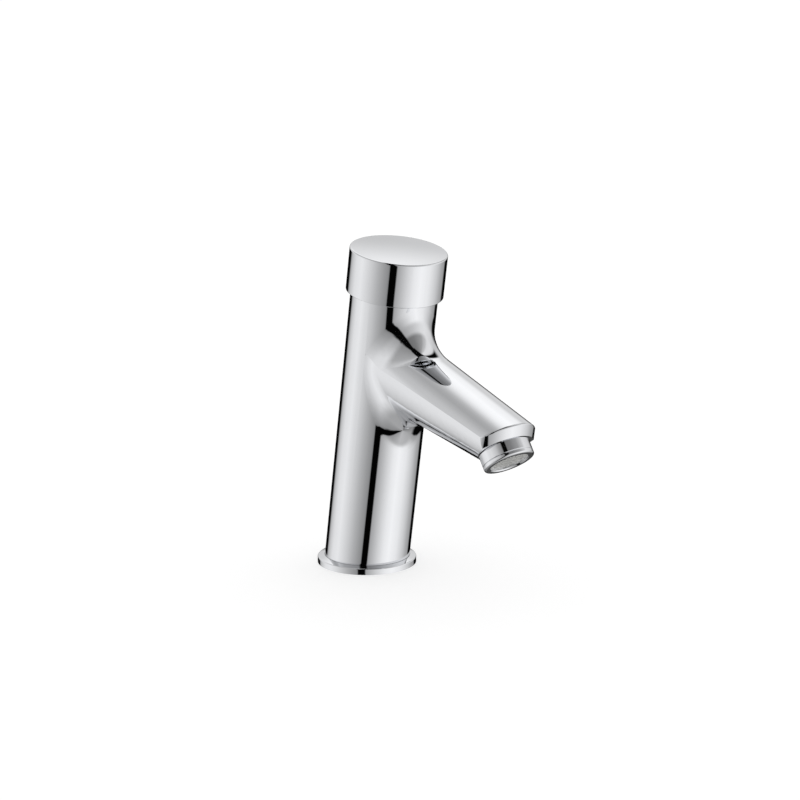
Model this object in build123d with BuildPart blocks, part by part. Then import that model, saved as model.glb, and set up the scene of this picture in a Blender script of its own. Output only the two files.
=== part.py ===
from build123d import *
from math import cos, radians, sin, sqrt, tan
import os

# Push timed tap for a wash basin: a leaning body cast in one with its spout, a push cap over a
# timed cartridge, and a screwed aerator. Millimetres, +Z up, spout towards +X. The origin is the
# centre of the base on the deck. Heights named below without a word more are measured along the
# leaning axis of the body from its foot, and reaches are measured square to that axis.
os.makedirs("parts", exist_ok=True)

# Stance of the body, in degrees and millimetres
lean = 10
foot_height = 2.0

# Column of the body
body_radius = 21.0
body_top = 145.0
neck_chamfer = 0.6
pocket_radius = 17.5
pocket_height = 52.0

# Spout
spout_root_top = 122.3
spout_nose_top = 111.2
spout_root_bottom = 84.2
spout_nose_bottom = 87.2
spout_root_half_width = 18.3
spout_nose_half_width = 15.2
spout_crown_radius = 19.7
spout_crease_margin = 0.5
spout_reach = 103.6
nose_radius = 20.5
nose_corner_radius = 4.0
nose_side_allowance = 0.15
nose_rim_round = 0.8
spout_root_fillet = 20.0
channel_radius = 6.0

# Base ring and its gasket
ring_radius = 24.5
ring_edge_height = 3.0
ring_foot_height = 4.0
ring_edge_round = 0.5
ring_bore_radius = 17.0
ring_seat_gap = 0.15
gasket_inner_radius = 18.5
gasket_outer_radius = 22.0
gasket_thickness = 1.0

# Inlet and stud threads in the web above the pocket, as bored
inlet_offset = 0.5
inlet_thread_radius = 4.5
inlet_thread_length = 12.0
inlet_passage_radius = 3.5
stud_offset = 12.5
stud_thread_radius = 3.4
stud_thread_length = 12.0

# Aerator, with its axis turned from the axis of the body, in degrees
aerator_angle = 46
aerator_reach = 95.0
aerator_height = 96.5
aerator_radius = 12.0
aerator_collar_height = 7.6
aerator_joint_gap = 0.3
aerator_thread_radius = 10.65
aerator_thread_length = 5.0
aerator_bore_radius = 9.5
aerator_mouth_radius = 8.95
aerator_lip_height = 1.4
aerator_edge_round = 0.9
aerator_mouth_chamfer = 0.5
aerator_groove_depth = 0.25
aerator_groove_height = 2.1
aerator_washer_thickness = 1.5
aerator_washer_bore = 8.2
aerator_core_wall = 1.6
aerator_plate_thickness = 1.5
aerator_grille_thickness = 1.9
aerator_screen_thickness = 0.6
jet_hole_radius = 0.7
jet_hole_circle = 5.6
jet_hole_count = 12
grille_cell_radius = 0.72
grille_bar = 0.3
grille_rim = 0.8
screen_hole_radius = 0.45
screen_hole_pitch = 1.5
nose_socket_tail = 2.5

# Push cap and its travel
cap_radius = 23.4
cap_height = 21.1
cap_overlap = 5.7
cap_top_thickness = 2.2
cap_bore_radius = 21.8
cap_top_round = 0.8
cap_edge_round = 0.3
cap_crown = 0.6
push_travel = 6.0
stop_gap = 0.3

# Cartridge chamber and head nut
chamber_radius = 14.5
gallery_radius = 17.6
gallery_margin = 0.8
bonnet_thread_radius = 15.9
bonnet_thread_length = 7.0
bonnet_flange_radius = 19.5
bonnet_flange_thickness = 2.0
bonnet_hex_width = 28.0
bonnet_hex_height = 2.5
bonnet_well_radius = 8.0
bonnet_well_depth = 2.7
bonnet_ring_section_radius = 0.9

# Stem and what it runs in
stem_radius = 3.0
stem_collar_radius = 4.3
stem_collar_height = 1.5
stem_flat_width = 4.6
stem_side_gap = 0.5
clip_groove_radius = 2.4
clip_thickness = 0.7
piston_clip_radius = 5.0
cap_clip_radius = 4.6
clip_opening_share = 0.8
stem_end_margin = 0.2
bush_radius = 5.0
bush_length = 4.0
stem_seal_radius = 6.5
stem_seal_height = 2.8
seal_retainer_radius = 8.0
seal_retainer_thickness = 1.0

# Timing cylinder, cage and valve
sleeve_radius = 14.2
sleeve_height = 41.0
sleeve_gasket_thickness = 1.0
dashpot_radius = 11.0
seat_wall = 3.0
outlet_chamber_radius = 10.5
outlet_chamber_height = 6.0
outlet_port_width = 5.0
outlet_port_height = 4.0
outlet_port_count = 6
guide_wall = 2.0
balance_hole_radius = 1.0
balance_hole_circle = 8.6
balance_hole_count = 4
ring_section_radius = 0.85
ring_groove_play = 0.2
lower_ring_share = 0.5
upper_ring_rise = 3.0
seat_radius = 8.0
seat_bore_radius = 6.0
seat_depth = 2.0
seat_rise = 0.5
washer_radius = 9.0
washer_thickness = 3.0
holder_rim = 0.8
holder_base = 2.0
holder_rim_share = 0.67
screw_radius = 1.9
screw_head_radius = 3.5
screw_head_height = 2.2
screw_engagement = 5.0
screw_slot_width = 1.0
cage_height = 18.0
cage_wall = 2.7
cage_floor = 2.5
cage_lip = 0.5
cage_lip_width = 1.0
limiter_radius = 7.0
limiter_bore_radius = 2.5
filter_thickness = 0.6
filter_hole_radius = 0.5
filter_hole_pitch = 1.6
chamber_gasket_thickness = 2.0
chamber_gasket_bore = 6.0

# Piston, lip seal, bleed pin and spring
piston_height = 5.0
piston_drop = 5.0
piston_gap = 0.3
lip_groove_depth = 2.4
lip_seal_height = 2.6
lip_mouth_depth = 1.3
lip_mouth_share = 0.35
bleed_radius = 0.5
bleed_circle = 5.75
bleed_head_radius = 0.9
bleed_head_height = 0.6
spring_radius = 7.0
spring_wire_radius = 0.6
spring_turns = 5.5

# Fits and tool overrun
running_gap = 0.06
fit_gap = 0.05
overrun = 5.0

# Heights that follow from the sizes above, from the head nut down to the chamber floor
bonnet_base = body_top - bonnet_thread_length
bonnet_top = body_top + bonnet_flange_thickness + bonnet_hex_height
sleeve_top = bonnet_base - sleeve_gasket_thickness
sleeve_base = sleeve_top - sleeve_height
outlet_base = sleeve_base + seat_wall
guide_base = outlet_base + outlet_chamber_height
guide_top = guide_base + guide_wall
outlet_middle = (outlet_base + guide_base) / 2
seat_face = sleeve_base - seat_rise
cage_base = sleeve_base - cage_height
chamber_floor = cage_base - chamber_gasket_thickness
piston_top = sleeve_top - piston_drop
piston_base = piston_top - piston_height
washer_base = seat_face - washer_thickness
holder_underside = washer_base - holder_base
well_floor = bonnet_top - bonnet_well_depth

# Heights of the cap and what hangs in it
cap_bottom = body_top - cap_overlap
cap_top = cap_bottom + cap_height
cap_underside = cap_top - cap_top_thickness
insert_base = bonnet_top + push_travel + stop_gap
boss_base = well_floor + push_travel + stop_gap
cap_clip_base = (insert_base + cap_underside) / 2
stem_top = cap_underside - stem_end_margin


def sine(angle):
    return sin(radians(angle))


def cosine(angle):
    return cos(radians(angle))


# Planes and axes of the leaning body. The section plane holds the axis, with reach as its x and
# height as its y.
axis_direction = Vector(sine(lean), 0, cosine(lean))
reach_direction = Vector(cosine(lean), 0, -sine(lean))
body_plane = Plane(origin=(0, 0, foot_height), x_dir=reach_direction, z_dir=axis_direction)
section_plane = Plane(origin=body_plane.origin, x_dir=reach_direction, z_dir=(0, -1, 0))
body_axis = Axis(body_plane.origin, axis_direction)


def place(reach, height):
    """The point of the tap's middle plane at a reach and a height."""
    return body_plane.origin + reach_direction * reach + axis_direction * height


# Planes and axis of the aerator. Its outward direction is down the stream.
stream_direction = reach_direction * sine(aerator_angle) - axis_direction * cosine(aerator_angle)
rise_direction = reach_direction * cosine(aerator_angle) + axis_direction * sine(aerator_angle)
aerator_centre = place(aerator_reach, aerator_height)
aerator_plane = Plane(origin=aerator_centre, x_dir=rise_direction, z_dir=stream_direction)
aerator_section = Plane(origin=aerator_centre, x_dir=rise_direction, z_dir=rise_direction.cross(stream_direction))
aerator_axis = Axis(aerator_centre, stream_direction)


def outline(plane, points):
    """A closed flat outline through points of a section plane, ready to be revolved."""
    with BuildSketch(plane) as flat:
        with BuildLine():
            Polyline(*points, close=True)
        make_face()
    return flat.sketch


def ring(inner, outer, low, high):
    """The outline of a ring about the body's axis, between two radii and two heights."""
    return outline(section_plane, [(inner, low), (outer, low), (outer, high), (inner, high)])


def nozzle_ring(inner, outer, low, high):
    """The outline of a ring about the aerator's axis, between two radii and two depths."""
    return outline(aerator_section, [(inner, low), (outer, low), (outer, high), (inner, high)])


def round_ring(ring_centre, height, section):
    """The round section of an O-ring about the body's axis."""
    with BuildSketch(section_plane) as flat:
        with Locations((ring_centre, height)):
            Circle(section)
    return flat.sketch


def spout_section(reach, top, bottom, half_width):
    """The section of the spout's sides and underside at a reach, open to above its crown."""
    crease = top - spout_crown_radius + sqrt(spout_crown_radius**2 - half_width**2)
    side_top = crease + spout_crease_margin
    square = Plane(origin=place(reach, 0), x_dir=(0, 1, 0), z_dir=reach_direction)
    with BuildSketch(square) as flat:
        with BuildLine():
            EllipticalCenterArc((0, side_top), half_width, side_top - bottom, start_angle=180, arc_size=180)
            Polyline(
                (half_width, side_top),
                (half_width, top + overrun),
                (-half_width, top + overrun),
                (-half_width, side_top),
            )
        make_face()
    return flat.sketch


def plate_spots(pitch, reach):
    """Places of a square pattern of holes that stay within a reach of the middle."""
    steps = range(-int(reach / pitch), int(reach / pitch) + 1)
    return [(pitch * i, pitch * j) for i in steps for j in steps if pitch * sqrt(i**2 + j**2) <= reach]


def hex_spots(pitch, reach):
    """Places of a honeycomb of cells that stay within a reach of the middle."""
    steps = range(-2 * int(reach / pitch), 2 * int(reach / pitch) + 1)
    spots = [(pitch * (i + j / 2), pitch * j * sine(60)) for i in steps for j in steps]
    return [(x, y) for x, y in spots if sqrt(x**2 + y**2) <= reach]


# Column of the body, with the seam of its round wall at the back, cut level at the foot
back_plane = Plane(origin=body_plane.origin, x_dir=-reach_direction, z_dir=(0, 1, 0))
foot_drop = body_radius * tan(radians(lean)) + overrun
column_outline = outline(
    back_plane,
    [
        (0, -foot_drop),
        (body_radius, -foot_drop),
        (body_radius, body_top - neck_chamfer),
        (body_radius - neck_chamfer, body_top),
        (0, body_top),
    ],
)

# Spout, lofted to just past the nose, then trimmed by its round crown and by its rounded plan
spout_end = spout_reach + overrun
ridge_slope = place(spout_reach, spout_nose_top) - place(0, spout_root_top)
crown_plane = Plane(origin=place(0, spout_root_top), x_dir=(0, -1, 0), z_dir=ridge_slope)


def at_spout_end(root, nose):
    """A size of the spout carried on along its straight taper to the end of the loft."""
    return root + (nose - root) * spout_end / spout_reach


def plan_half_width(reach):
    """Half the width of the spout's plan, a little outside its sides."""
    taper = (spout_nose_half_width - spout_root_half_width) * reach / spout_reach
    return spout_root_half_width + taper + nose_side_allowance


nose_corner = spout_reach - nose_radius + sqrt(nose_radius**2 - spout_nose_half_width**2)
nose_crease = spout_nose_top - spout_crown_radius + sqrt(spout_crown_radius**2 - spout_nose_half_width**2)
with BuildPart() as spout:
    loft(
        [
            spout_section(0, spout_root_top, spout_root_bottom, spout_root_half_width),
            spout_section(
                spout_end,
                at_spout_end(spout_root_top, spout_nose_top),
                at_spout_end(spout_root_bottom, spout_nose_bottom),
                at_spout_end(spout_root_half_width, spout_nose_half_width),
            ),
        ],
        ruled=True,
    )
    with BuildSketch(crown_plane.offset(-body_radius)):
        with Locations((0, spout_crown_radius)):
            Circle(spout_crown_radius)
    extrude(amount=2 * spout_reach, mode=Mode.INTERSECT)
    with BuildSketch(body_plane) as plan:
        with BuildLine():
            Polyline(
                (nose_corner, -plan_half_width(nose_corner)),
                (0, -plan_half_width(0)),
                (0, plan_half_width(0)),
                (nose_corner, plan_half_width(nose_corner)),
            )
            ThreePointArc(
                (nose_corner, plan_half_width(nose_corner)),
                (spout_reach, 0),
                (nose_corner, -plan_half_width(nose_corner)),
            )
        make_face()
        fillet(plan.vertices().group_by(Axis.X)[-1], nose_corner_radius)
    extrude(amount=spout_root_top + overrun, mode=Mode.INTERSECT)

# Body: column and spout cast in one, then the waterways and threads
socket_depth = aerator_thread_length + aerator_washer_thickness
socket_end = aerator_centre - stream_direction * (socket_depth + nose_socket_tail)
channel_start = place(outlet_chamber_radius, outlet_middle)
inlet_top = Vector(inlet_offset, 0, pocket_height + inlet_thread_length)
bonnet_ring_recess = bonnet_thread_radius + 2 * bonnet_ring_section_radius + fit_gap
bonnet_ring_depth = 2 * bonnet_ring_section_radius + fit_gap
pocket_crossing = (pocket_height - foot_height) * tan(radians(lean))


def on_column(edge):
    """True for an edge that lies on the column's round wall and isn't a straight line."""
    spans = [body_plane.to_local_coords(edge @ share) for share in (0, 1 / 3, 2 / 3, 1)]
    touching = all(abs(sqrt(spot.X**2 + spot.Y**2) - body_radius) < fit_gap for spot in spans)
    beside_spout = all(spout_root_bottom - overrun < spot.Z < spout_root_top + overrun for spot in spans)
    return touching and beside_spout


def on_nose_rim(edge):
    """True for an edge where the spout's crown meets the wall of its nose."""
    spots = [body_plane.to_local_coords(edge @ share) for share in (0, 1 / 2, 1)]
    return all(spot.X > nose_corner - 2 * nose_corner_radius and spot.Z > nose_crease - fit_gap for spot in spots)


with BuildPart() as tap_body:
    revolve(column_outline, axis=body_axis)
    split(bisect_by=Plane.XY.offset(foot_height), keep=Keep.TOP)
    add(spout.part)
    fillet(tap_body.edges().filter_by(on_column), spout_root_fillet)
    fillet(tap_body.edges().filter_by(on_nose_rim), nose_rim_round)
    # Nose cut square to the aerator, and the aerator's socket
    with BuildSketch(aerator_plane):
        Circle(2 * aerator_radius)
    extrude(amount=2 * aerator_radius, mode=Mode.SUBTRACT)
    revolve(
        nozzle_ring(0, aerator_thread_radius + fit_gap, -socket_depth, overrun),
        axis=aerator_axis,
        mode=Mode.SUBTRACT,
    )
    revolve(
        nozzle_ring(0, aerator_washer_bore, -socket_depth - nose_socket_tail, 0),
        axis=aerator_axis,
        mode=Mode.SUBTRACT,
    )
    # Cartridge chamber, its thread, the recess for the head nut's O-ring and the outlet gallery
    revolve(ring(0, chamber_radius, chamber_floor, body_top + overrun), axis=body_axis, mode=Mode.SUBTRACT)
    revolve(
        ring(0, bonnet_thread_radius + fit_gap, bonnet_base - sleeve_gasket_thickness / 2, body_top + overrun),
        axis=body_axis,
        mode=Mode.SUBTRACT,
    )
    revolve(
        ring(0, bonnet_ring_recess, body_top - bonnet_ring_depth, body_top + overrun),
        axis=body_axis,
        mode=Mode.SUBTRACT,
    )
    revolve(
        ring(0, gallery_radius, outlet_base + gallery_margin, guide_base - gallery_margin),
        axis=body_axis,
        mode=Mode.SUBTRACT,
    )
    # Channel along the spout
    with BuildSketch(Plane(origin=channel_start, z_dir=socket_end - channel_start)):
        Circle(channel_radius)
    extrude(amount=(socket_end - channel_start).length, mode=Mode.SUBTRACT)
    # Pocket under the column, up to a level web
    with BuildSketch(Plane.XY.offset(pocket_height)):
        with Locations((pocket_crossing, 0)):
            Ellipse(pocket_radius / cosine(lean), pocket_radius)
    extrude(amount=pocket_height + overrun, dir=-axis_direction, mode=Mode.SUBTRACT)
    # Inlet thread with its passage to the chamber, and the stud thread
    with BuildSketch(Plane.XY.offset(pocket_height)):
        with Locations((inlet_offset, 0)):
            Circle(inlet_thread_radius)
    extrude(amount=inlet_thread_length, mode=Mode.SUBTRACT)
    with BuildSketch(Plane.XY.offset(pocket_height)):
        with Locations((stud_offset, 0)):
            Circle(stud_thread_radius)
    extrude(amount=stud_thread_length, mode=Mode.SUBTRACT)
    with BuildSketch(Plane(origin=inlet_top, z_dir=place(0, chamber_floor) - inlet_top)):
        Circle(inlet_passage_radius)
    extrude(amount=(place(0, chamber_floor) - inlet_top).length, mode=Mode.SUBTRACT)
tap_body.part.label = "tap_body"
export_step(tap_body.part, "parts/tap_body.step")

# Base ring: a low chromed ring with a leaning seat for the foot and a groove for its gasket
with BuildPart() as base_ring:
    with BuildSketch(Plane.XZ) as profile:
        with BuildLine():
            Polyline(
                (ring_bore_radius, 0),
                (gasket_inner_radius, 0),
                (gasket_inner_radius, gasket_thickness),
                (gasket_outer_radius, gasket_thickness),
                (gasket_outer_radius, 0),
                (ring_radius, 0),
                (ring_radius, ring_edge_height),
                (body_radius, ring_foot_height),
                (ring_bore_radius, ring_foot_height),
                close=True,
            )
        make_face()
        fillet(profile.vertices().group_by(Axis.X)[-1].sort_by(Axis.Y)[-1], ring_edge_round)
    revolve(axis=Axis.Z)
    with BuildSketch(Plane.XY.offset(foot_height)):
        Ellipse((body_radius + ring_seat_gap) / cosine(lean), body_radius + ring_seat_gap)
    extrude(amount=ring_foot_height, dir=axis_direction, mode=Mode.SUBTRACT)
base_ring.part.label = "base_ring"
export_step(base_ring.part, "parts/base_ring.step")

# Gasket in the ring's groove, flush with the deck
with BuildPart() as base_gasket:
    with BuildSketch():
        Circle(gasket_outer_radius - fit_gap)
        Circle(gasket_inner_radius + fit_gap, mode=Mode.SUBTRACT)
    extrude(amount=gasket_thickness)
base_gasket.part.label = "base_gasket"
export_step(base_gasket.part, "parts/base_gasket.step")

# Push cap: a cup with a slightly crowned top, whose skirt slides over the neck
crown_radius = (cap_radius**2 + cap_crown**2) / (2 * cap_crown)
with BuildPart() as push_cap:
    with BuildSketch(section_plane) as profile:
        with BuildLine():
            Polyline(
                (0, cap_top + cap_crown),
                (0, cap_underside),
                (cap_bore_radius, cap_underside),
                (cap_bore_radius, cap_bottom),
                (cap_radius, cap_bottom),
                (cap_radius, cap_top + cap_crown),
                close=True,
            )
        make_face()
        fillet(profile.vertices().group_by(Axis.Y)[0], cap_edge_round)
    revolve(axis=body_axis)
    with Locations(place(0, cap_top + cap_crown - crown_radius)):
        Sphere(crown_radius, rotation=(90, 0, 0), mode=Mode.INTERSECT)
    fillet(push_cap.edges().sort_by(body_axis)[-1], cap_top_round)
push_cap.part.label = "push_cap"
export_step(push_cap.part, "parts/push_cap.step")

# Plastic insert pressed into the cap, with a boss on the flats of the stem
with BuildPart() as cap_insert:
    revolve(
        outline(
            section_plane,
            [
                (0, boss_base),
                (bush_radius + stem_side_gap, boss_base),
                (bush_radius + stem_side_gap, insert_base),
                (cap_bore_radius - fit_gap, insert_base),
                (cap_bore_radius - fit_gap, cap_underside),
                (cap_clip_radius + fit_gap, cap_underside),
                (cap_clip_radius + fit_gap, cap_clip_base),
                (0, cap_clip_base),
            ],
        ),
        axis=body_axis,
    )
    with BuildSketch(body_plane.offset(boss_base)):
        Circle(stem_radius + fit_gap)
        Rectangle(2 * stem_radius + overrun, stem_flat_width + 2 * fit_gap, mode=Mode.INTERSECT)
    extrude(amount=cap_underside - boss_base, mode=Mode.SUBTRACT)
cap_insert.part.label = "cap_insert"
export_step(cap_insert.part, "parts/cap_insert.step")


def spring_clip(base, radius):
    """The flat of an open spring clip in a groove of the stem, with its base at a height."""
    with BuildSketch(body_plane.offset(base)) as flat:
        Circle(radius)
        Circle(clip_groove_radius + fit_gap, mode=Mode.SUBTRACT)
        with Locations((radius, 0)):
            Rectangle(2 * radius, 2 * clip_groove_radius * clip_opening_share, mode=Mode.SUBTRACT)
    return flat.sketch


# Clip that holds the insert on the stem
with BuildPart() as cap_clip:
    extrude(spring_clip(cap_clip_base, cap_clip_radius), amount=clip_thickness)
cap_clip.part.label = "cap_clip"
export_step(cap_clip.part, "parts/cap_clip.step")

# Stem: collar over the piston, two clip grooves, flats for the cap's insert and a tapped lower end
with BuildPart() as stem:
    revolve(ring(0, stem_radius, seat_face, stem_top), axis=body_axis)
    revolve(ring(0, stem_collar_radius, piston_top, piston_top + stem_collar_height), axis=body_axis)
    for groove_base in (piston_base - clip_thickness, cap_clip_base):
        revolve(
            ring(clip_groove_radius, stem_radius + overrun, groove_base, groove_base + clip_thickness),
            axis=body_axis,
            mode=Mode.SUBTRACT,
        )
    revolve(
        ring(0, screw_radius + fit_gap, seat_face, seat_face + screw_engagement + fit_gap),
        axis=body_axis,
        mode=Mode.SUBTRACT,
    )
    with BuildSketch(body_plane.offset(boss_base)):
        Rectangle(2 * stem_radius + overrun, 2 * stem_radius + overrun)
        Rectangle(2 * stem_radius + overrun, stem_flat_width, mode=Mode.SUBTRACT)
    extrude(amount=stem_top - boss_base + overrun, mode=Mode.SUBTRACT)
stem.part.label = "stem"
export_step(stem.part, "parts/stem.step")

# Head nut that closes the chamber, with bores for the bush, the stem seal and its retainer
retainer_top = bonnet_base + seal_retainer_thickness
bush_base = well_floor - bush_length
with BuildPart() as bonnet:
    revolve(ring(0, bonnet_thread_radius, bonnet_base, body_top), axis=body_axis)
    revolve(ring(0, bonnet_flange_radius, body_top, body_top + bonnet_flange_thickness), axis=body_axis)
    with BuildSketch(body_plane.offset(body_top + bonnet_flange_thickness)):
        RegularPolygon(bonnet_hex_width / 2, 6, major_radius=False)
    extrude(amount=bonnet_hex_height)
    for bore_radius, bore_base, bore_top in (
        (bonnet_well_radius, well_floor, bonnet_top + overrun),
        (bush_radius + fit_gap, bush_base, bonnet_top),
        (stem_radius + stem_side_gap, bonnet_base, bonnet_top),
        (stem_seal_radius + fit_gap, bonnet_base, retainer_top + stem_seal_height),
        (seal_retainer_radius + fit_gap, bonnet_base - overrun, retainer_top),
    ):
        revolve(ring(0, bore_radius, bore_base, bore_top), axis=body_axis, mode=Mode.SUBTRACT)
bonnet.part.label = "bonnet"
export_step(bonnet.part, "parts/bonnet.step")

# O-ring under the flange of the head nut
with BuildPart() as bonnet_o_ring:
    revolve(
        round_ring(
            bonnet_thread_radius + bonnet_ring_section_radius + fit_gap / 2,
            body_top - bonnet_ring_depth / 2,
            bonnet_ring_section_radius,
        ),
        axis=body_axis,
    )
bonnet_o_ring.part.label = "bonnet_o_ring"
export_step(bonnet_o_ring.part, "parts/bonnet_o_ring.step")

# Plastic bush that guides the stem
with BuildPart() as stem_bush:
    revolve(ring(stem_radius + running_gap, bush_radius, bush_base, well_floor), axis=body_axis)
stem_bush.part.label = "stem_bush"
export_step(stem_bush.part, "parts/stem_bush.step")

# Rubber seal around the stem, and the washer pressed in under it
with BuildPart() as stem_seal:
    revolve(
        ring(stem_radius + running_gap, stem_seal_radius, retainer_top, retainer_top + stem_seal_height),
        axis=body_axis,
    )
stem_seal.part.label = "stem_seal"
export_step(stem_seal.part, "parts/stem_seal.step")

with BuildPart() as seal_retainer:
    revolve(
        ring(stem_radius + stem_side_gap, seal_retainer_radius, bonnet_base, retainer_top),
        axis=body_axis,
    )
seal_retainer.part.label = "seal_retainer"
export_step(seal_retainer.part, "parts/seal_retainer.step")

# Flat seal between the timing cylinder and the head nut
with BuildPart() as sleeve_gasket:
    revolve(ring(dashpot_radius, sleeve_radius, sleeve_top, bonnet_base), axis=body_axis)
sleeve_gasket.part.label = "sleeve_gasket"
export_step(sleeve_gasket.part, "parts/sleeve_gasket.step")

# Timing cylinder: seat wall, outlet chamber with its ports, guide wall and dash pot in one
sleeve_ring_radius = chamber_radius - fit_gap - ring_section_radius
sleeve_groove_radius = sleeve_ring_radius - ring_section_radius - fit_gap
sleeve_ring_heights = {
    "lower_sleeve_ring": sleeve_base + seat_wall * lower_ring_share,
    "upper_sleeve_ring": guide_top + upper_ring_rise,
}
with BuildPart() as timing_cylinder:
    revolve(
        outline(
            section_plane,
            [
                (seat_radius + fit_gap, sleeve_base),
                (sleeve_radius, sleeve_base),
                (sleeve_radius, sleeve_top),
                (dashpot_radius, sleeve_top),
                (dashpot_radius, guide_top),
                (stem_radius + running_gap, guide_top),
                (stem_radius + running_gap, guide_base),
                (outlet_chamber_radius, guide_base),
                (outlet_chamber_radius, outlet_base),
                (seat_bore_radius, outlet_base),
                (seat_bore_radius, sleeve_base + seat_depth),
                (seat_radius + fit_gap, sleeve_base + seat_depth),
            ],
        ),
        axis=body_axis,
    )
    for ring_height in sleeve_ring_heights.values():
        groove_low = ring_height - ring_section_radius - ring_groove_play / 2
        groove_high = ring_height + ring_section_radius + ring_groove_play / 2
        revolve(
            ring(sleeve_groove_radius, sleeve_radius + overrun, groove_low, groove_high),
            axis=body_axis,
            mode=Mode.SUBTRACT,
        )
    with Locations(body_plane.offset(outlet_middle)):
        with PolarLocations(sleeve_radius, outlet_port_count):
            Box(2 * cage_wall + overrun, outlet_port_width, outlet_port_height, mode=Mode.SUBTRACT)
    with Locations(body_plane.offset(guide_base + guide_wall / 2)):
        with PolarLocations(balance_hole_circle, balance_hole_count):
            Cylinder(balance_hole_radius, guide_wall + fit_gap, mode=Mode.SUBTRACT)
timing_cylinder.part.label = "timing_cylinder"
export_step(timing_cylinder.part, "parts/timing_cylinder.step")

# The two O-rings of the timing cylinder, below and above its ports
for ring_name, ring_height in sleeve_ring_heights.items():
    with BuildPart() as sleeve_ring:
        revolve(round_ring(sleeve_ring_radius, ring_height, ring_section_radius), axis=body_axis)
    sleeve_ring.part.label = ring_name
    export_step(sleeve_ring.part, f"parts/{ring_name}.step")

# Steel seat pressed into the timing cylinder from below
with BuildPart() as valve_seat:
    revolve(ring(seat_bore_radius, seat_radius, seat_face, sleeve_base + seat_depth), axis=body_axis)
valve_seat.part.label = "valve_seat"
export_step(valve_seat.part, "parts/valve_seat.step")

# Rubber washer that closes the seat, its cup and its screw
with BuildPart() as valve_washer:
    revolve(ring(screw_radius + fit_gap, washer_radius, washer_base, seat_face), axis=body_axis)
valve_washer.part.label = "valve_washer"
export_step(valve_washer.part, "parts/valve_washer.step")

holder_radius = washer_radius + fit_gap + holder_rim
with BuildPart() as washer_holder:
    revolve(
        outline(
            section_plane,
            [
                (screw_radius + fit_gap, holder_underside),
                (holder_radius, holder_underside),
                (holder_radius, washer_base + washer_thickness * holder_rim_share),
                (washer_radius + fit_gap, washer_base + washer_thickness * holder_rim_share),
                (washer_radius + fit_gap, washer_base),
                (screw_radius + fit_gap, washer_base),
            ],
        ),
        axis=body_axis,
    )
washer_holder.part.label = "washer_holder"
export_step(washer_holder.part, "parts/washer_holder.step")

screw_head_base = holder_underside - screw_head_height
with BuildPart() as washer_screw:
    revolve(ring(0, screw_head_radius, screw_head_base, holder_underside), axis=body_axis)
    revolve(ring(0, screw_radius, holder_underside, seat_face + screw_engagement), axis=body_axis)
    with BuildSketch(body_plane.offset(screw_head_base)):
        Rectangle(2 * screw_head_radius + overrun, screw_slot_width)
    extrude(amount=screw_head_height / 2, mode=Mode.SUBTRACT)
washer_screw.part.label = "washer_screw"
export_step(washer_screw.part, "parts/washer_screw.step")

# Cage around the valve, with a lipped floor that takes the limiter and the filter from below
cage_floor_top = cage_base + cage_floor
limiter_top = cage_floor_top - cage_lip
with BuildPart() as valve_cage:
    revolve(
        outline(
            section_plane,
            [
                (limiter_radius + fit_gap, cage_base),
                (sleeve_radius, cage_base),
                (sleeve_radius, sleeve_base),
                (sleeve_radius - cage_wall, sleeve_base),
                (sleeve_radius - cage_wall, cage_floor_top),
                (limiter_radius - cage_lip_width, cage_floor_top),
                (limiter_radius - cage_lip_width, limiter_top),
                (limiter_radius + fit_gap, limiter_top),
            ],
        ),
        axis=body_axis,
    )
valve_cage.part.label = "valve_cage"
export_step(valve_cage.part, "parts/valve_cage.step")

with BuildPart() as flow_limiter:
    revolve(
        ring(limiter_bore_radius, limiter_radius, cage_base + filter_thickness, limiter_top),
        axis=body_axis,
    )
flow_limiter.part.label = "flow_limiter"
export_step(flow_limiter.part, "parts/flow_limiter.step")

filter_reach = chamber_gasket_bore - filter_hole_pitch / 2
with BuildPart() as inlet_filter:
    with BuildSketch(body_plane.offset(cage_base)):
        Circle(limiter_radius)
        with Locations(*plate_spots(filter_hole_pitch, filter_reach)):
            Circle(filter_hole_radius, mode=Mode.SUBTRACT)
    extrude(amount=filter_thickness)
inlet_filter.part.label = "inlet_filter"
export_step(inlet_filter.part, "parts/inlet_filter.step")

with BuildPart() as chamber_gasket:
    revolve(ring(chamber_gasket_bore, sleeve_radius, chamber_floor, cage_base), axis=body_axis)
chamber_gasket.part.label = "chamber_gasket"
export_step(chamber_gasket.part, "parts/chamber_gasket.step")

# Piston on the stem, with a groove for the lip seal and a bleed hole
piston_radius = dashpot_radius - piston_gap
lip_groove_radius = piston_radius - lip_groove_depth
lip_base = piston_base + (piston_height - lip_seal_height) / 2
lip_top = lip_base + lip_seal_height
with BuildPart() as piston:
    revolve(ring(stem_radius + fit_gap, piston_radius, piston_base, piston_top), axis=body_axis)
    revolve(
        ring(lip_groove_radius, piston_radius + overrun, lip_base, lip_top),
        axis=body_axis,
        mode=Mode.SUBTRACT,
    )
    with BuildSketch(body_plane.offset(piston_base)):
        with Locations((bleed_circle, 0)):
            Circle(bleed_radius + fit_gap)
    extrude(amount=piston_height, mode=Mode.SUBTRACT)
piston.part.label = "piston"
export_step(piston.part, "parts/piston.step")

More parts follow.
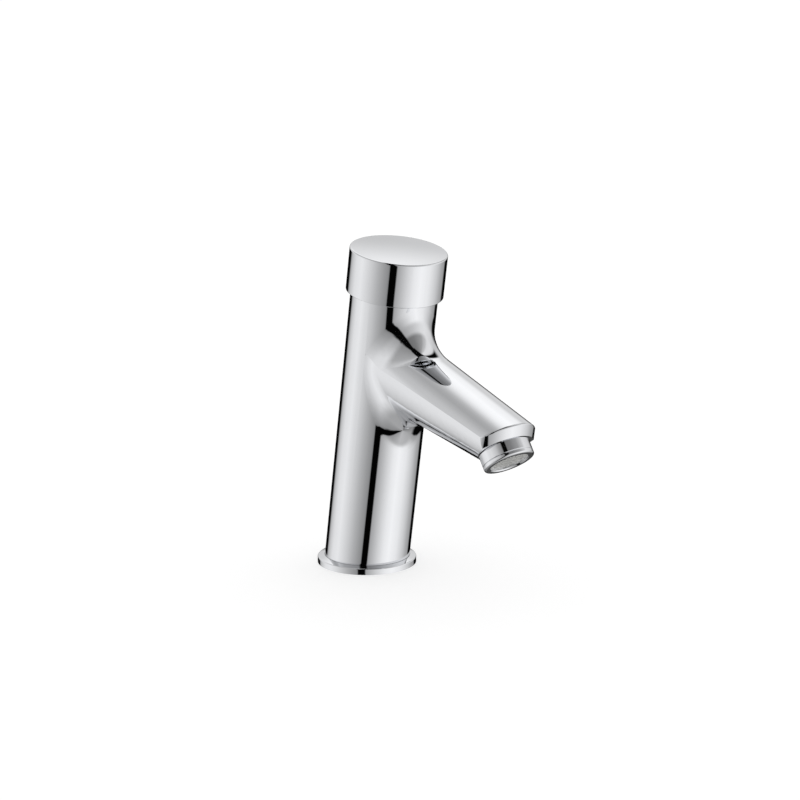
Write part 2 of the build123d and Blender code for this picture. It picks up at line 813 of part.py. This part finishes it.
# One-way lip seal, a ring with an open mouth on its upper side
lip_inner = lip_groove_radius + fit_gap
lip_outer = dashpot_radius - running_gap
lip_width = lip_outer - lip_inner
with BuildPart() as piston_lip_seal:
    revolve(
        outline(
            section_plane,
            [
                (lip_inner, lip_base),
                (lip_outer, lip_base),
                (lip_outer, lip_top),
                (lip_outer - lip_width * lip_mouth_share, lip_top),
                (lip_outer - lip_width / 2, lip_top - lip_mouth_depth),
                (lip_inner + lip_width * lip_mouth_share, lip_top),
                (lip_inner, lip_top),
            ],
        ),
        axis=body_axis,
    )
piston_lip_seal.part.label = "piston_lip_seal"
export_step(piston_lip_seal.part, "parts/piston_lip_seal.step")

with BuildPart() as piston_clip:
    extrude(spring_clip(piston_base - clip_thickness, piston_clip_radius), amount=clip_thickness)
piston_clip.part.label = "piston_clip"
export_step(piston_clip.part, "parts/piston_clip.step")

# Bleed pin, hung by its head in the piston
with BuildPart() as bleed_pin:
    with BuildSketch(body_plane.offset(piston_base)):
        with Locations((bleed_circle, 0)):
            Circle(bleed_radius)
    extrude(amount=piston_height)
    with BuildSketch(body_plane.offset(piston_top)):
        with Locations((bleed_circle, 0)):
            Circle(bleed_head_radius)
    extrude(amount=bleed_head_height)
bleed_pin.part.label = "bleed_pin"
export_step(bleed_pin.part, "parts/bleed_pin.step")

# Return spring, from the guide wall up to the piston
coil_base = guide_top + spring_wire_radius + fit_gap
coil_height = piston_base - guide_top - 2 * (spring_wire_radius + fit_gap)
with BuildPart() as return_spring:
    with BuildLine() as coil:
        Helix(
            pitch=coil_height / spring_turns,
            height=coil_height,
            radius=spring_radius,
            center=place(0, coil_base),
            direction=axis_direction,
        )
    with BuildSketch(Plane(origin=coil.line @ 0, z_dir=coil.line % 0)):
        Circle(spring_wire_radius)
    sweep(is_frenet=True)
return_spring.part.label = "return_spring"
export_step(return_spring.part, "parts/return_spring.step")

# Aerator housing: threaded into the nose, with a knife-cut line round its collar
lip_depth = aerator_collar_height - aerator_lip_height
groove_depth = aerator_collar_height - aerator_groove_height
with BuildPart() as aerator_housing:
    with BuildSketch(aerator_section) as profile:
        with BuildLine():
            Polyline(
                (aerator_bore_radius, -aerator_thread_length),
                (aerator_thread_radius, -aerator_thread_length),
                (aerator_thread_radius, aerator_joint_gap),
                (aerator_radius, aerator_joint_gap),
                (aerator_radius, aerator_collar_height),
                (aerator_mouth_radius, aerator_collar_height),
                (aerator_mouth_radius, lip_depth),
                (aerator_bore_radius, lip_depth),
                close=True,
            )
        make_face()
        fillet(profile.vertices().group_by(Axis.Y)[-1].sort_by(Axis.X)[-1], aerator_edge_round)
        chamfer(profile.vertices().group_by(Axis.Y)[-1].sort_by(Axis.X)[0], aerator_mouth_chamfer)
    revolve(axis=aerator_axis)
    revolve(
        outline(
            aerator_section,
            [
                (aerator_radius - aerator_groove_depth, groove_depth),
                (aerator_radius + aerator_groove_depth, groove_depth - 2 * aerator_groove_depth),
                (aerator_radius + aerator_groove_depth, groove_depth + 2 * aerator_groove_depth),
            ],
        ),
        axis=aerator_axis,
        mode=Mode.SUBTRACT,
    )
aerator_housing.part.label = "aerator_housing"
export_step(aerator_housing.part, "parts/aerator_housing.step")

with BuildPart() as aerator_washer:
    revolve(
        nozzle_ring(aerator_washer_bore, aerator_thread_radius, -socket_depth, -aerator_thread_length),
        axis=aerator_axis,
    )
aerator_washer.part.label = "aerator_washer"
export_step(aerator_washer.part, "parts/aerator_washer.step")

# Honeycomb grille behind the lip of the housing
grille_radius = aerator_bore_radius - fit_gap
grille_base = lip_depth - aerator_grille_thickness
grille_pitch = 2 * grille_cell_radius + grille_bar
with BuildPart() as aerator_grille:
    with BuildSketch(aerator_plane.offset(grille_base)):
        Circle(grille_radius)
        with Locations(*hex_spots(grille_pitch, grille_radius - grille_rim - grille_cell_radius)):
            RegularPolygon(grille_cell_radius, 6, major_radius=False, rotation=30, mode=Mode.SUBTRACT)
    extrude(amount=aerator_grille_thickness)
aerator_grille.part.label = "aerator_grille"
export_step(aerator_grille.part, "parts/aerator_grille.step")

# Core of the aerator: a plastic tube with a plate of jets
core_bore = grille_radius - aerator_core_wall
with BuildPart() as aerator_core:
    revolve(nozzle_ring(core_bore, grille_radius, -aerator_thread_length, grille_base), axis=aerator_axis)
    with BuildSketch(aerator_plane.offset(-aerator_plate_thickness)):
        Circle(core_bore + aerator_core_wall / 2)
        with PolarLocations(jet_hole_circle, jet_hole_count):
            Circle(jet_hole_radius, mode=Mode.SUBTRACT)
    extrude(amount=aerator_plate_thickness)
aerator_core.part.label = "aerator_core"
export_step(aerator_core.part, "parts/aerator_core.step")

# Fine screen that lies on the core, inside the washer
screen_radius = aerator_washer_bore - fit_gap
with BuildPart() as aerator_screen:
    with BuildSketch(aerator_plane.offset(-aerator_thread_length - aerator_screen_thickness)):
        Circle(screen_radius)
        with Locations(*plate_spots(screen_hole_pitch, screen_radius - screen_hole_pitch)):
            Circle(screen_hole_radius, mode=Mode.SUBTRACT)
    extrude(amount=aerator_screen_thickness)
aerator_screen.part.label = "aerator_screen"
export_step(aerator_screen.part, "parts/aerator_screen.step")
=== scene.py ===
from math import cos, pi, radians, sin

import bmesh
import bpy
from mathutils import Matrix, Vector

# The studio and the finishes of a push timed tap. Metres, +Z up, the spout towards +X.
bl_info = {
    "name": "Push timed tap",
    "version": (1, 0, 0),
    "blender": (4, 5, 0),
    "location": "3D View > Sidebar > Tap",
    "description": "Finishes a chromed push tap and lights it in a small white studio",
    "category": "Object",
}

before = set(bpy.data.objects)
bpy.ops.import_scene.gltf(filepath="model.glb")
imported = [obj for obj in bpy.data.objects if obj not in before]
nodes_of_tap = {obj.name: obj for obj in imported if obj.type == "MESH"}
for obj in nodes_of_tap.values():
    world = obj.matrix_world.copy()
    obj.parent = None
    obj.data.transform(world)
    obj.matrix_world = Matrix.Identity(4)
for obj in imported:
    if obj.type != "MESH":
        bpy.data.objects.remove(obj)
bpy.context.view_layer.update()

# The column leans towards the spout, and the turned pieces inside share its axis
LEAN = radians(10)
AERATOR_TILT = radians(36)
# Distance in metres between the bands of a wave texture whose scale is one
BAND_SPACING = 0.314
# Moulded acetal: how much its roughness varies, and the width of its grain in metres
ACETAL_SHEEN_SPREAD = 0.12
ACETAL_GRAIN = 0.00025


def linear(hex_colour):
    """A colour written as sRGB hex, turned to the linear values that shaders take."""
    parts = [int(hex_colour[i : i + 2], 16) / 255 for i in (1, 3, 5)]
    return [p / 12.92 if p <= 0.04045 else ((p + 0.055) / 1.055) ** 2.4 for p in parts] + [1.0]


def add_node(tree, kind, links=None, **settings):
    """Adds a node, sets its properties or its inputs by name, and links other sockets to its inputs."""
    node = tree.nodes.new(kind)
    for name, value in settings.items():
        if hasattr(node, name):
            setattr(node, name, value)
        else:
            node.inputs[name.replace("_", " ")].default_value = value
    for name, socket in (links or {}).items():
        tree.links.new(socket, node.inputs[name])
    return node


def new_material(name):
    """An empty node material with its shader, output and object coordinates."""
    material = bpy.data.materials.new(name)
    material.use_nodes = True
    tree = material.node_tree
    tree.nodes.clear()
    shader = tree.nodes.new("ShaderNodeBsdfPrincipled")
    output = tree.nodes.new("ShaderNodeOutputMaterial")
    tree.links.new(shader.outputs["BSDF"], output.inputs["Surface"])
    place = tree.nodes.new("ShaderNodeTexCoord").outputs["Object"]
    return material, tree, shader, place


def vary(tree, shader, factor, low, high):
    """Roughness that runs from low to high with a factor."""
    span = add_node(tree, "ShaderNodeMapRange", {"Value": factor}, To_Min=low, To_Max=high)
    tree.links.new(span.outputs["Result"], shader.inputs["Roughness"])


def tint(tree, shader, factor, first, second):
    """Base colour that runs between two hex colours with a factor."""
    mix = add_node(tree, "ShaderNodeMix", {"Factor": factor}, data_type="RGBA")
    mix.inputs["A"].default_value = linear(first)
    mix.inputs["B"].default_value = linear(second)
    tree.links.new(mix.outputs["Result"], shader.inputs["Base Color"])


def relief(tree, shader, height, distance, strength):
    """A bump from a height, its distance in metres."""
    bump = add_node(tree, "ShaderNodeBump", {"Height": height}, Distance=distance, Strength=strength)
    tree.links.new(bump.outputs["Normal"], shader.inputs["Normal"])


def noise(tree, place, width, detail, **settings):
    """Noise whose spots are about a width across, in metres."""
    return add_node(
        tree,
        "ShaderNodeTexNoise",
        {"Vector": place},
        Scale=1 / width,
        Detail=detail,
        **settings,
    ).outputs["Fac"]


def turned(tree, place, tilt, spacing):
    """Fine rings square to a leaning axis, as a lathe leaves them, spacing in metres."""
    along = add_node(tree, "ShaderNodeMapping", {"Vector": place})
    along.inputs["Rotation"].default_value = (0, -tilt, 0)
    return add_node(
        tree,
        "ShaderNodeTexWave",
        {"Vector": along.outputs["Vector"]},
        wave_type="BANDS",
        bands_direction="Z",
        Scale=BAND_SPACING / spacing,
        Distortion=0.6,
        Detail=1.0,
    ).outputs["Fac"]


def polished_chrome(name, tilt, settings):
    """Decorative chrome plated over polished brass: a cool mirror with a trace of polishing."""
    material, tree, shader, place = new_material(name)
    shader.inputs["Metallic"].default_value = 1.0
    # Faint clouds 12 mm wide, where the mirror was wiped
    clouds = noise(tree, place, width=0.012, detail=3.0)
    tint(tree, shader, clouds, settings.chrome, settings.chrome_shade)
    # Wiping marks a millimetre apart only touch the gloss
    wiped = turned(tree, place, tilt, spacing=0.0011)
    both = add_node(tree, "ShaderNodeMath", {0: clouds, 1: wiped}, operation="MULTIPLY").outputs["Value"]
    vary(tree, shader, both, settings.chrome_gloss, settings.chrome_gloss + settings.chrome_wiping)
    return material


def turned_brass(name, settings):
    """Brass as it comes off the lathe: warm, with fine rings that break the shine."""
    material, tree, shader, place = new_material(name)
    shader.inputs["Metallic"].default_value = 1.0
    rings = turned(tree, place, LEAN, spacing=0.0004)
    stain = noise(tree, place, width=0.004, detail=4.0)
    tint(tree, shader, stain, settings.brass, settings.brass_shade)
    vary(tree, shader, rings, low=0.18, high=0.34)
    relief(tree, shader, rings, distance=0.00002, strength=0.5)
    return material


def turned_stainless(name, tilt):
    """Stainless steel off the lathe: neutral grey, with rings a third of a millimetre apart."""
    material, tree, shader, place = new_material(name)
    shader.inputs["Metallic"].default_value = 1.0
    rings = turned(tree, place, tilt, spacing=0.0003)
    grain = noise(tree, place, width=0.002, detail=3.0)
    tint(tree, shader, grain, "#C9C9C6", "#B4B4B2")
    vary(tree, shader, rings, low=0.16, high=0.30)
    relief(tree, shader, rings, distance=0.00001, strength=0.4)
    return material


def drawn_spring_steel(name):
    """Hard drawn wire and strip: darker than stainless, with a bluish oil sheen."""
    material, tree, shader, place = new_material(name)
    shader.inputs["Metallic"].default_value = 1.0
    streak = noise(tree, place, width=0.0015, detail=5.0)
    tint(tree, shader, streak, "#A9ABB0", "#83868D")
    vary(tree, shader, streak, low=0.20, high=0.40)
    return material


def moulded_rubber(name, colour, shade):
    """Nitrile rubber from a steel mould: soft black, hardly shining, with a powdery bloom."""
    material, tree, shader, place = new_material(name)
    shader.inputs["Specular IOR Level"].default_value = 0.35
    bloom = noise(tree, place, width=0.003, detail=5.0)
    tint(tree, shader, bloom, colour, shade)
    vary(tree, shader, bloom, low=0.55, high=0.80)
    grit = noise(tree, place, width=0.0003, detail=2.0)
    relief(tree, shader, grit, distance=0.00002, strength=0.4)
    return material


def pressed_fibre(name):
    """Vulcanised fibre cut from sheet: brick red, with short matted fibres."""
    material, tree, shader, place = new_material(name)
    matted = noise(tree, place, width=0.0006, detail=6.0, Distortion=1.5)
    tint(tree, shader, matted, "#7E3B2A", "#A65A43")
    vary(tree, shader, matted, low=0.60, high=0.85)
    relief(tree, shader, matted, distance=0.00004, strength=0.5)
    return material


def moulded_acetal(name, colour, shade, sheen):
    """Acetal from an injection mould: even, waxy, with a fine spark-eroded grain."""
    material, tree, shader, place = new_material(name)
    cast = noise(tree, place, width=0.006, detail=2.0)
    tint(tree, shader, cast, colour, shade)
    vary(tree, shader, cast, low=sheen, high=sheen + ACETAL_SHEEN_SPREAD)
    eroded = add_node(tree, "ShaderNodeTexVoronoi", {"Vector": place}, Scale=1 / ACETAL_GRAIN)
    relief(tree, shader, eroded.outputs["Distance"], distance=0.00001, strength=0.35)
    return material


def dress(names, material):
    """Gives CAD pieces a finish and leaves their meshes as they are."""
    for name in names:
        piece = nodes_of_tap[name]
        piece.data.materials.clear()
        piece.data.materials.append(material)


class TapFinishSettings(bpy.types.PropertyGroup):
    chrome: bpy.props.StringProperty(
        name="Chrome", description="Colour of the plated mirror, as sRGB hex", default="#F0F1F3"
    )
    chrome_shade: bpy.props.StringProperty(
        name="Chrome shade", description="Colour of its faint clouds, as sRGB hex", default="#ECEDF0"
    )
    chrome_gloss: bpy.props.FloatProperty(
        name="Chrome roughness",
        description="Least roughness of the plated mirror",
        default=0.03,
        min=0,
        max=1,
    )
    chrome_wiping: bpy.props.FloatProperty(
        name="Chrome wiping",
        description="Roughness that the wiping marks add to the mirror at most",
        default=0.025,
        min=0,
        max=1,
    )
    brass: bpy.props.StringProperty(
        name="Brass", description="Colour of bare turned brass, as sRGB hex", default="#D9B45F"
    )
    brass_shade: bpy.props.StringProperty(
        name="Brass shade", description="Colour of its faint staining, as sRGB hex", default="#B98F45"
    )
    grille: bpy.props.StringProperty(
        name="Grille", description="Colour of the honeycomb in the aerator, as sRGB hex", default="#F4F4F1"
    )


class TapStudioSettings(bpy.types.PropertyGroup):
    camera_place: bpy.props.FloatVectorProperty(
        name="Camera place",
        description="Where the camera stands",
        default=(0.89469, -0.60639, 0.32948),
        subtype="TRANSLATION",
        unit="LENGTH",
    )
    camera_back: bpy.props.FloatVectorProperty(
        name="Camera back",
        description="Direction from the tap to the camera's back",
        default=(0.79849, -0.55910, 0.22322),
        subtype="DIRECTION",
    )
    lens: bpy.props.FloatProperty(
        name="Lens", description="Focal length on a sensor 36 mm wide, in millimetres", default=101.81
    )
    floor_colour: bpy.props.StringProperty(
        name="Floor", description="Colour of the floor, as sRGB hex", default="#C8C8C8"
    )
    floor_side: bpy.props.FloatProperty(
        name="Floor side", description="Side of the square floor", default=60.0, unit="LENGTH"
    )
    room_light: bpy.props.FloatProperty(
        name="Room light", description="Strength of the even light from all round", default=0.95
    )


class TAP_OT_chrome_shell(bpy.types.Operator):
    """Plates the body, the base ring, the push cap and the aerator's housing"""

    bl_idname = "tap.chrome_shell"
    bl_label = "Chrome shell"

    def execute(self, context):
        settings = context.scene.tap_finish
        chrome = polished_chrome("polished_chrome", LEAN, settings)
        dress(["tap_body", "base_ring", "push_cap"], chrome)
        dress(["aerator_housing"], polished_chrome("aerator_chrome", -AERATOR_TILT, settings))
        return {"FINISHED"}


class TAP_OT_aerator_inside(bpy.types.Operator):
    """Finishes the grille, core, screen and washer of the aerator"""

    bl_idname = "tap.aerator_inside"
    bl_label = "Aerator inside"

    def execute(self, context):
        settings = context.scene.tap_finish
        white = moulded_acetal("white_acetal", settings.grille, "#DCDDDB", sheen=0.30)
        dress(["aerator_grille", "aerator_core"], white)
        dress(["aerator_screen"], turned_stainless("screen_stainless", -AERATOR_TILT))
        dress(["aerator_washer"], moulded_rubber("washer_rubber", "#232324", "#333335"))
        return {"FINISHED"}


class TAP_OT_cartridge_metals(bpy.types.Operator):
    """Finishes the brass, stainless and spring steel pieces of the cartridge"""

    bl_idname = "tap.cartridge_metals"
    bl_label = "Cartridge metals"

    def execute(self, context):
        settings = context.scene.tap_finish
        dress(["bonnet", "washer_holder", "washer_screw"], turned_brass("turned_brass", settings))
        stainless = turned_stainless("turned_stainless", LEAN)
        dress(["stem", "seal_retainer", "bleed_pin", "valve_seat", "inlet_filter"], stainless)
        dress(["cap_clip", "piston_clip", "return_spring"], drawn_spring_steel("spring_steel"))
        return {"FINISHED"}


class TAP_OT_cartridge_plastics(bpy.types.Operator):
    """Finishes the moulded pieces of the cartridge and the cap's insert"""

    bl_idname = "tap.cartridge_plastics"
    bl_label = "Cartridge plastics"

    def execute(self, context):
        grey = moulded_acetal("grey_acetal", "#9EA0A2", "#8D8F92", sheen=0.38)
        dress(["timing_cylinder", "valve_cage"], grey)
        black = moulded_acetal("black_acetal", "#29292A", "#353537", sheen=0.36)
        dress(["cap_insert", "piston"], black)
        dress(["stem_bush"], moulded_acetal("bush_acetal", "#E6E6E1", "#D8D8D2", sheen=0.30))
        return {"FINISHED"}


class TAP_OT_seals(bpy.types.Operator):
    """Finishes the O-rings, washers and gaskets"""

    bl_idname = "tap.seals"
    bl_label = "Seals"

    def execute(self, context):
        rings = ["bonnet_o_ring", "upper_sleeve_ring", "lower_sleeve_ring", "stem_seal", "piston_lip_seal"]
        rubber = moulded_rubber("black_rubber", "#1E1E1F", "#2E2E30")
        dress(rings + ["valve_washer", "flow_limiter", "base_gasket"], rubber)
        dress(["sleeve_gasket", "chamber_gasket"], pressed_fibre("pressed_fibre"))
        return {"FINISHED"}


# The studio as polished metal sees it: how light it is by the compass, in degrees, at the height
# of the table, of the tap, of the eye and up high. A dark strip stands beside the camera and a
# wide dark screen low behind the tap, and a dark gap runs overhead between the lights.
DARK = 0.001
TABLE_STUDIO = (
    (-180, 0.2),
    (-150, 0.4),
    (-100, 0.42),
    (-62, 0.28),
    (-56, DARK),
    (-39, DARK),
    (-34, 0.34),
    (20, 0.55),
    (90, 0.46),
    (125, 0.3),
    (160, 0.2),
    (180, 0.2),
)
LOW_STUDIO = (
    (-180, 0.002),
    (-178, 0.01),
    (-174, 0.4),
    (-165, 0.62),
    (-148, 0.85),
    (-128, 0.92),
    (-112, 0.79),
    (-97, 0.65),
    (-82, 0.49),
    (-68, 0.37),
    (-60, 0.31),
    (-56.5, 0.26),
    (-55, DARK),
    (-39, DARK),
    (-37, 0.4),
    (-22, 0.58),
    (-8, 0.76),
    (7, 0.93),
    (25, 1.03),
    (50, 0.92),
    (75, 0.66),
    (92, 0.44),
    (104, 0.36),
    (110, DARK),
    (180, 0.002),
)
EYE_STUDIO = (
    (-180, 0.75),
    (-150, 0.8),
    (-132, 0.85),
    (-105, 0.8),
    (-80, 0.54),
    (-60, 0.38),
    (-56, DARK),
    (-39, DARK),
    (-36, 0.4),
    (0, 0.6),
    (36, 0.8),
    (60, 0.85),
    (90, 0.75),
    (112, 0.6),
    (134, 0.72),
    (143, 0.62),
    (160, 0.7),
    (180, 0.75),
)
HIGH_STUDIO = (
    (-180, 0.68),
    (-172, 0.56),
    (-160, 0.46),
    (-150, 0.43),
    (-141, 0.5),
    (-132, 0.65),
    (-112, 0.44),
    (-85, 0.36),
    (-62, 0.28),
    (-57, DARK),
    (-39, DARK),
    (-36, 0.18),
    (-9, 0.22),
    (15, 0.3),
    (36, 0.36),
    (50, 0.52),
    (60, 0.58),
    (72, 0.8),
    (90, 0.84),
    (102, 0.74),
    (108, DARK),
    (120, DARK),
    (125, 0.95),
    (132, 1.02),
    (140, 1.12),
    (150, 1.07),
    (160, 0.98),
    (170, 0.84),
    (180, 0.68),
)
# Each ring that melts in over the ones before it, from one height to another. Heights here are
# sines of the angle above the horizon.
RINGS = (
    (EYE_STUDIO, -0.08, 0.16),
    (HIGH_STUDIO, 0.36, 0.60),
    (TABLE_STUDIO, -0.58, -0.80),
)
# The overhead gap: the compass bearing that it is square to, half its width and the softness of
# its edges as sines, and the heights between which it melts in
GAP_BEARING = radians(43)
GAP_HALF_WIDTH = 0.12
GAP_SOFTNESS = 0.02
GAP_START = 0.86
GAP_END = 0.92
# How much the floor gives off to the camera alone, so that it comes out white
BOARD_GLOW = 0.49
# The camera's sensor in millimetres, and the distances in metres between which it sees
SENSOR_WIDTH = 36
NEAR_CLIP = 0.01
FAR_CLIP = 200


def compass_ramp(tree, turn, stops):
    """A ramp of greys round the compass, from stops in degrees and a bearing as a share of a turn."""
    ramp = add_node(tree, "ShaderNodeValToRGB", {"Fac": turn})
    elements = ramp.color_ramp.elements
    while len(elements) > 1:
        elements.remove(elements[-1])
    for i, (degrees, level) in enumerate(stops):
        spot = (degrees + 180) / 360
        stop = elements[0] if i == 0 else elements.new(spot)
        stop.position = spot
        stop.color = (level, level, level, 1)
    return ramp.outputs["Color"]


def melt(tree, first, second, value, start, end):
    """A colour that runs smoothly from the first to the second as a value goes from start to end."""
    share = add_node(
        tree,
        "ShaderNodeMapRange",
        {"Value": value},
        interpolation_type="SMOOTHSTEP",
        From_Min=start,
        From_Max=end,
    )
    mix = add_node(tree, "ShaderNodeMix", {"Factor": share.outputs["Result"]}, data_type="RGBA")
    tree.links.new(first, mix.inputs["A"])
    tree.links.new(second, mix.inputs["B"])
    return mix.outputs["Result"]


def studio_world(settings):
    """Even white light all round, and the studio's screens in what metal reflects."""
    world = bpy.data.worlds.new("studio")
    world.use_nodes = True
    tree = world.node_tree
    tree.nodes.clear()
    facing = add_node(tree, "ShaderNodeTexCoord").outputs["Generated"]
    split = add_node(tree, "ShaderNodeSeparateXYZ", {"Vector": facing})
    height = split.outputs["Z"]
    bearing = add_node(
        tree, "ShaderNodeMath", {0: split.outputs["Y"], 1: split.outputs["X"]}, operation="ARCTAN2"
    )
    turn = add_node(
        tree,
        "ShaderNodeMapRange",
        {"Value": bearing.outputs["Value"]},
        From_Min=-pi,
        From_Max=pi,
    ).outputs["Result"]
    # The rings of the studio melt into each other by height
    level = compass_ramp(tree, turn, LOW_STUDIO)
    for ring, start, end in RINGS:
        level = melt(tree, level, compass_ramp(tree, turn, ring), height, start, end)
    across = add_node(tree, "ShaderNodeVectorMath", {0: facing}, operation="DOT_PRODUCT")
    across.inputs[1].default_value = (cos(GAP_BEARING), sin(GAP_BEARING), 0)
    off = add_node(tree, "ShaderNodeMath", {0: across.outputs["Value"]}, operation="ABSOLUTE")
    dark = add_node(tree, "ShaderNodeRGB").outputs["Color"]
    dark.default_value = (DARK, DARK, DARK, 1)
    gap = melt(
        tree,
        dark,
        level,
        off.outputs["Value"],
        GAP_HALF_WIDTH - GAP_SOFTNESS,
        GAP_HALF_WIDTH + GAP_SOFTNESS,
    )
    level = melt(tree, level, gap, height, GAP_START, GAP_END)
    seen = add_node(tree, "ShaderNodeBackground", {"Color": level}, Strength=1.0)
    room = add_node(tree, "ShaderNodeBackground", Strength=settings.room_light)
    room.inputs["Color"].default_value = (1, 1, 1, 1)
    white = add_node(tree, "ShaderNodeBackground", Strength=1.0)
    white.inputs["Color"].default_value = (1, 1, 1, 1)
    path = add_node(tree, "ShaderNodeLightPath")
    plain = add_node(
        tree,
        "ShaderNodeMixShader",
        {0: path.outputs["Is Camera Ray"], 1: room.outputs[0], 2: white.outputs[0]},
    )
    whole = add_node(
        tree,
        "ShaderNodeMixShader",
        {0: path.outputs["Is Glossy Ray"], 1: plain.outputs[0], 2: seen.outputs[0]},
    )
    add_node(tree, "ShaderNodeOutputWorld", {"Surface": whole.outputs[0]})
    bpy.context.scene.world = world


def floor_material(settings):
    """Matt white board: even and pale, and it takes the tap's soft shadow."""
    material, tree, shader, _ = new_material("white_board")
    shader.inputs["Specular IOR Level"].default_value = 0.0
    shader.inputs["Roughness"].default_value = 1.0
    shader.inputs["Base Color"].default_value = linear(settings.floor_colour)
    # The board looks white to the camera, and its shadow stays
    path = add_node(tree, "ShaderNodeLightPath")
    glow = add_node(tree, "ShaderNodeEmission", Strength=BOARD_GLOW)
    dark = add_node(tree, "ShaderNodeEmission", Strength=0.0)
    lift = add_node(
        tree,
        "ShaderNodeMixShader",
        {0: path.outputs["Is Camera Ray"], 1: dark.outputs[0], 2: glow.outputs[0]},
    )
    total = add_node(tree, "ShaderNodeAddShader", {0: shader.outputs[0], 1: lift.outputs[0]})
    output = next(node for node in tree.nodes if node.type == "OUTPUT_MATERIAL")
    tree.links.new(total.outputs[0], output.inputs["Surface"])
    return material


class TAP_OT_stage(bpy.types.Operator):
    """Lays the floor, lights the studio and sets up the camera"""

    bl_idname = "tap.stage"
    bl_label = "Stage"

    def execute(self, context):
        scene = context.scene
        settings = scene.tap_studio
        board = bmesh.new()
        bmesh.ops.create_grid(board, x_segments=1, y_segments=1, size=settings.floor_side / 2)
        mesh = bpy.data.meshes.new("floor")
        board.to_mesh(mesh)
        board.free()
        floor = bpy.data.objects.new("floor", mesh)
        scene.collection.objects.link(floor)
        mesh.materials.append(floor_material(settings))
        floor.visible_glossy = False
        studio_world(settings)

        back = Vector(settings.camera_back).normalized()
        right = Vector((0, 0, 1)).cross(back).normalized()
        up = back.cross(right)
        camera = bpy.data.objects.new("camera", bpy.data.cameras.new("camera"))
        scene.collection.objects.link(camera)
        turn = Matrix((right, up, back)).transposed().to_4x4()
        camera.matrix_world = Matrix.Translation(settings.camera_place) @ turn
        camera.data.sensor_fit = "HORIZONTAL"
        camera.data.sensor_width = SENSOR_WIDTH
        camera.data.lens = settings.lens
        camera.data.clip_start = NEAR_CLIP
        camera.data.clip_end = FAR_CLIP
        scene.camera = camera
        scene.view_settings.view_transform = "Standard"
        return {"FINISHED"}


class TAP_PT_tools(bpy.types.Panel):
    """Lists the steps that finish and light the tap"""

    bl_idname = "TAP_PT_tools"
    bl_label = "Push timed tap"
    bl_space_type = "VIEW_3D"
    bl_region_type = "UI"
    bl_category = "Tap"

    def draw(self, context):
        for operator in STEPS:
            self.layout.operator(operator.bl_idname)
        for settings in (context.scene.tap_finish, context.scene.tap_studio):
            for name in settings.__annotations__:
                self.layout.prop(settings, name)


STEPS = (
    TAP_OT_chrome_shell,
    TAP_OT_aerator_inside,
    TAP_OT_cartridge_metals,
    TAP_OT_cartridge_plastics,
    TAP_OT_seals,
    TAP_OT_stage,
)
CLASSES = (TapFinishSettings, TapStudioSettings, *STEPS, TAP_PT_tools)


def register():
    for one in CLASSES:
        bpy.utils.register_class(one)
    bpy.types.Scene.tap_finish = bpy.props.PointerProperty(type=TapFinishSettings)
    bpy.types.Scene.tap_studio = bpy.props.PointerProperty(type=TapStudioSettings)


def unregister():
    del bpy.types.Scene.tap_studio
    del bpy.types.Scene.tap_finish
    for one in reversed(CLASSES):
        bpy.utils.unregister_class(one)


def main():
    register()
    for step in STEPS:
        group, name = step.bl_idname.split(".")
        getattr(getattr(bpy.ops, group), name)()


if __name__ == "__main__":
    main()
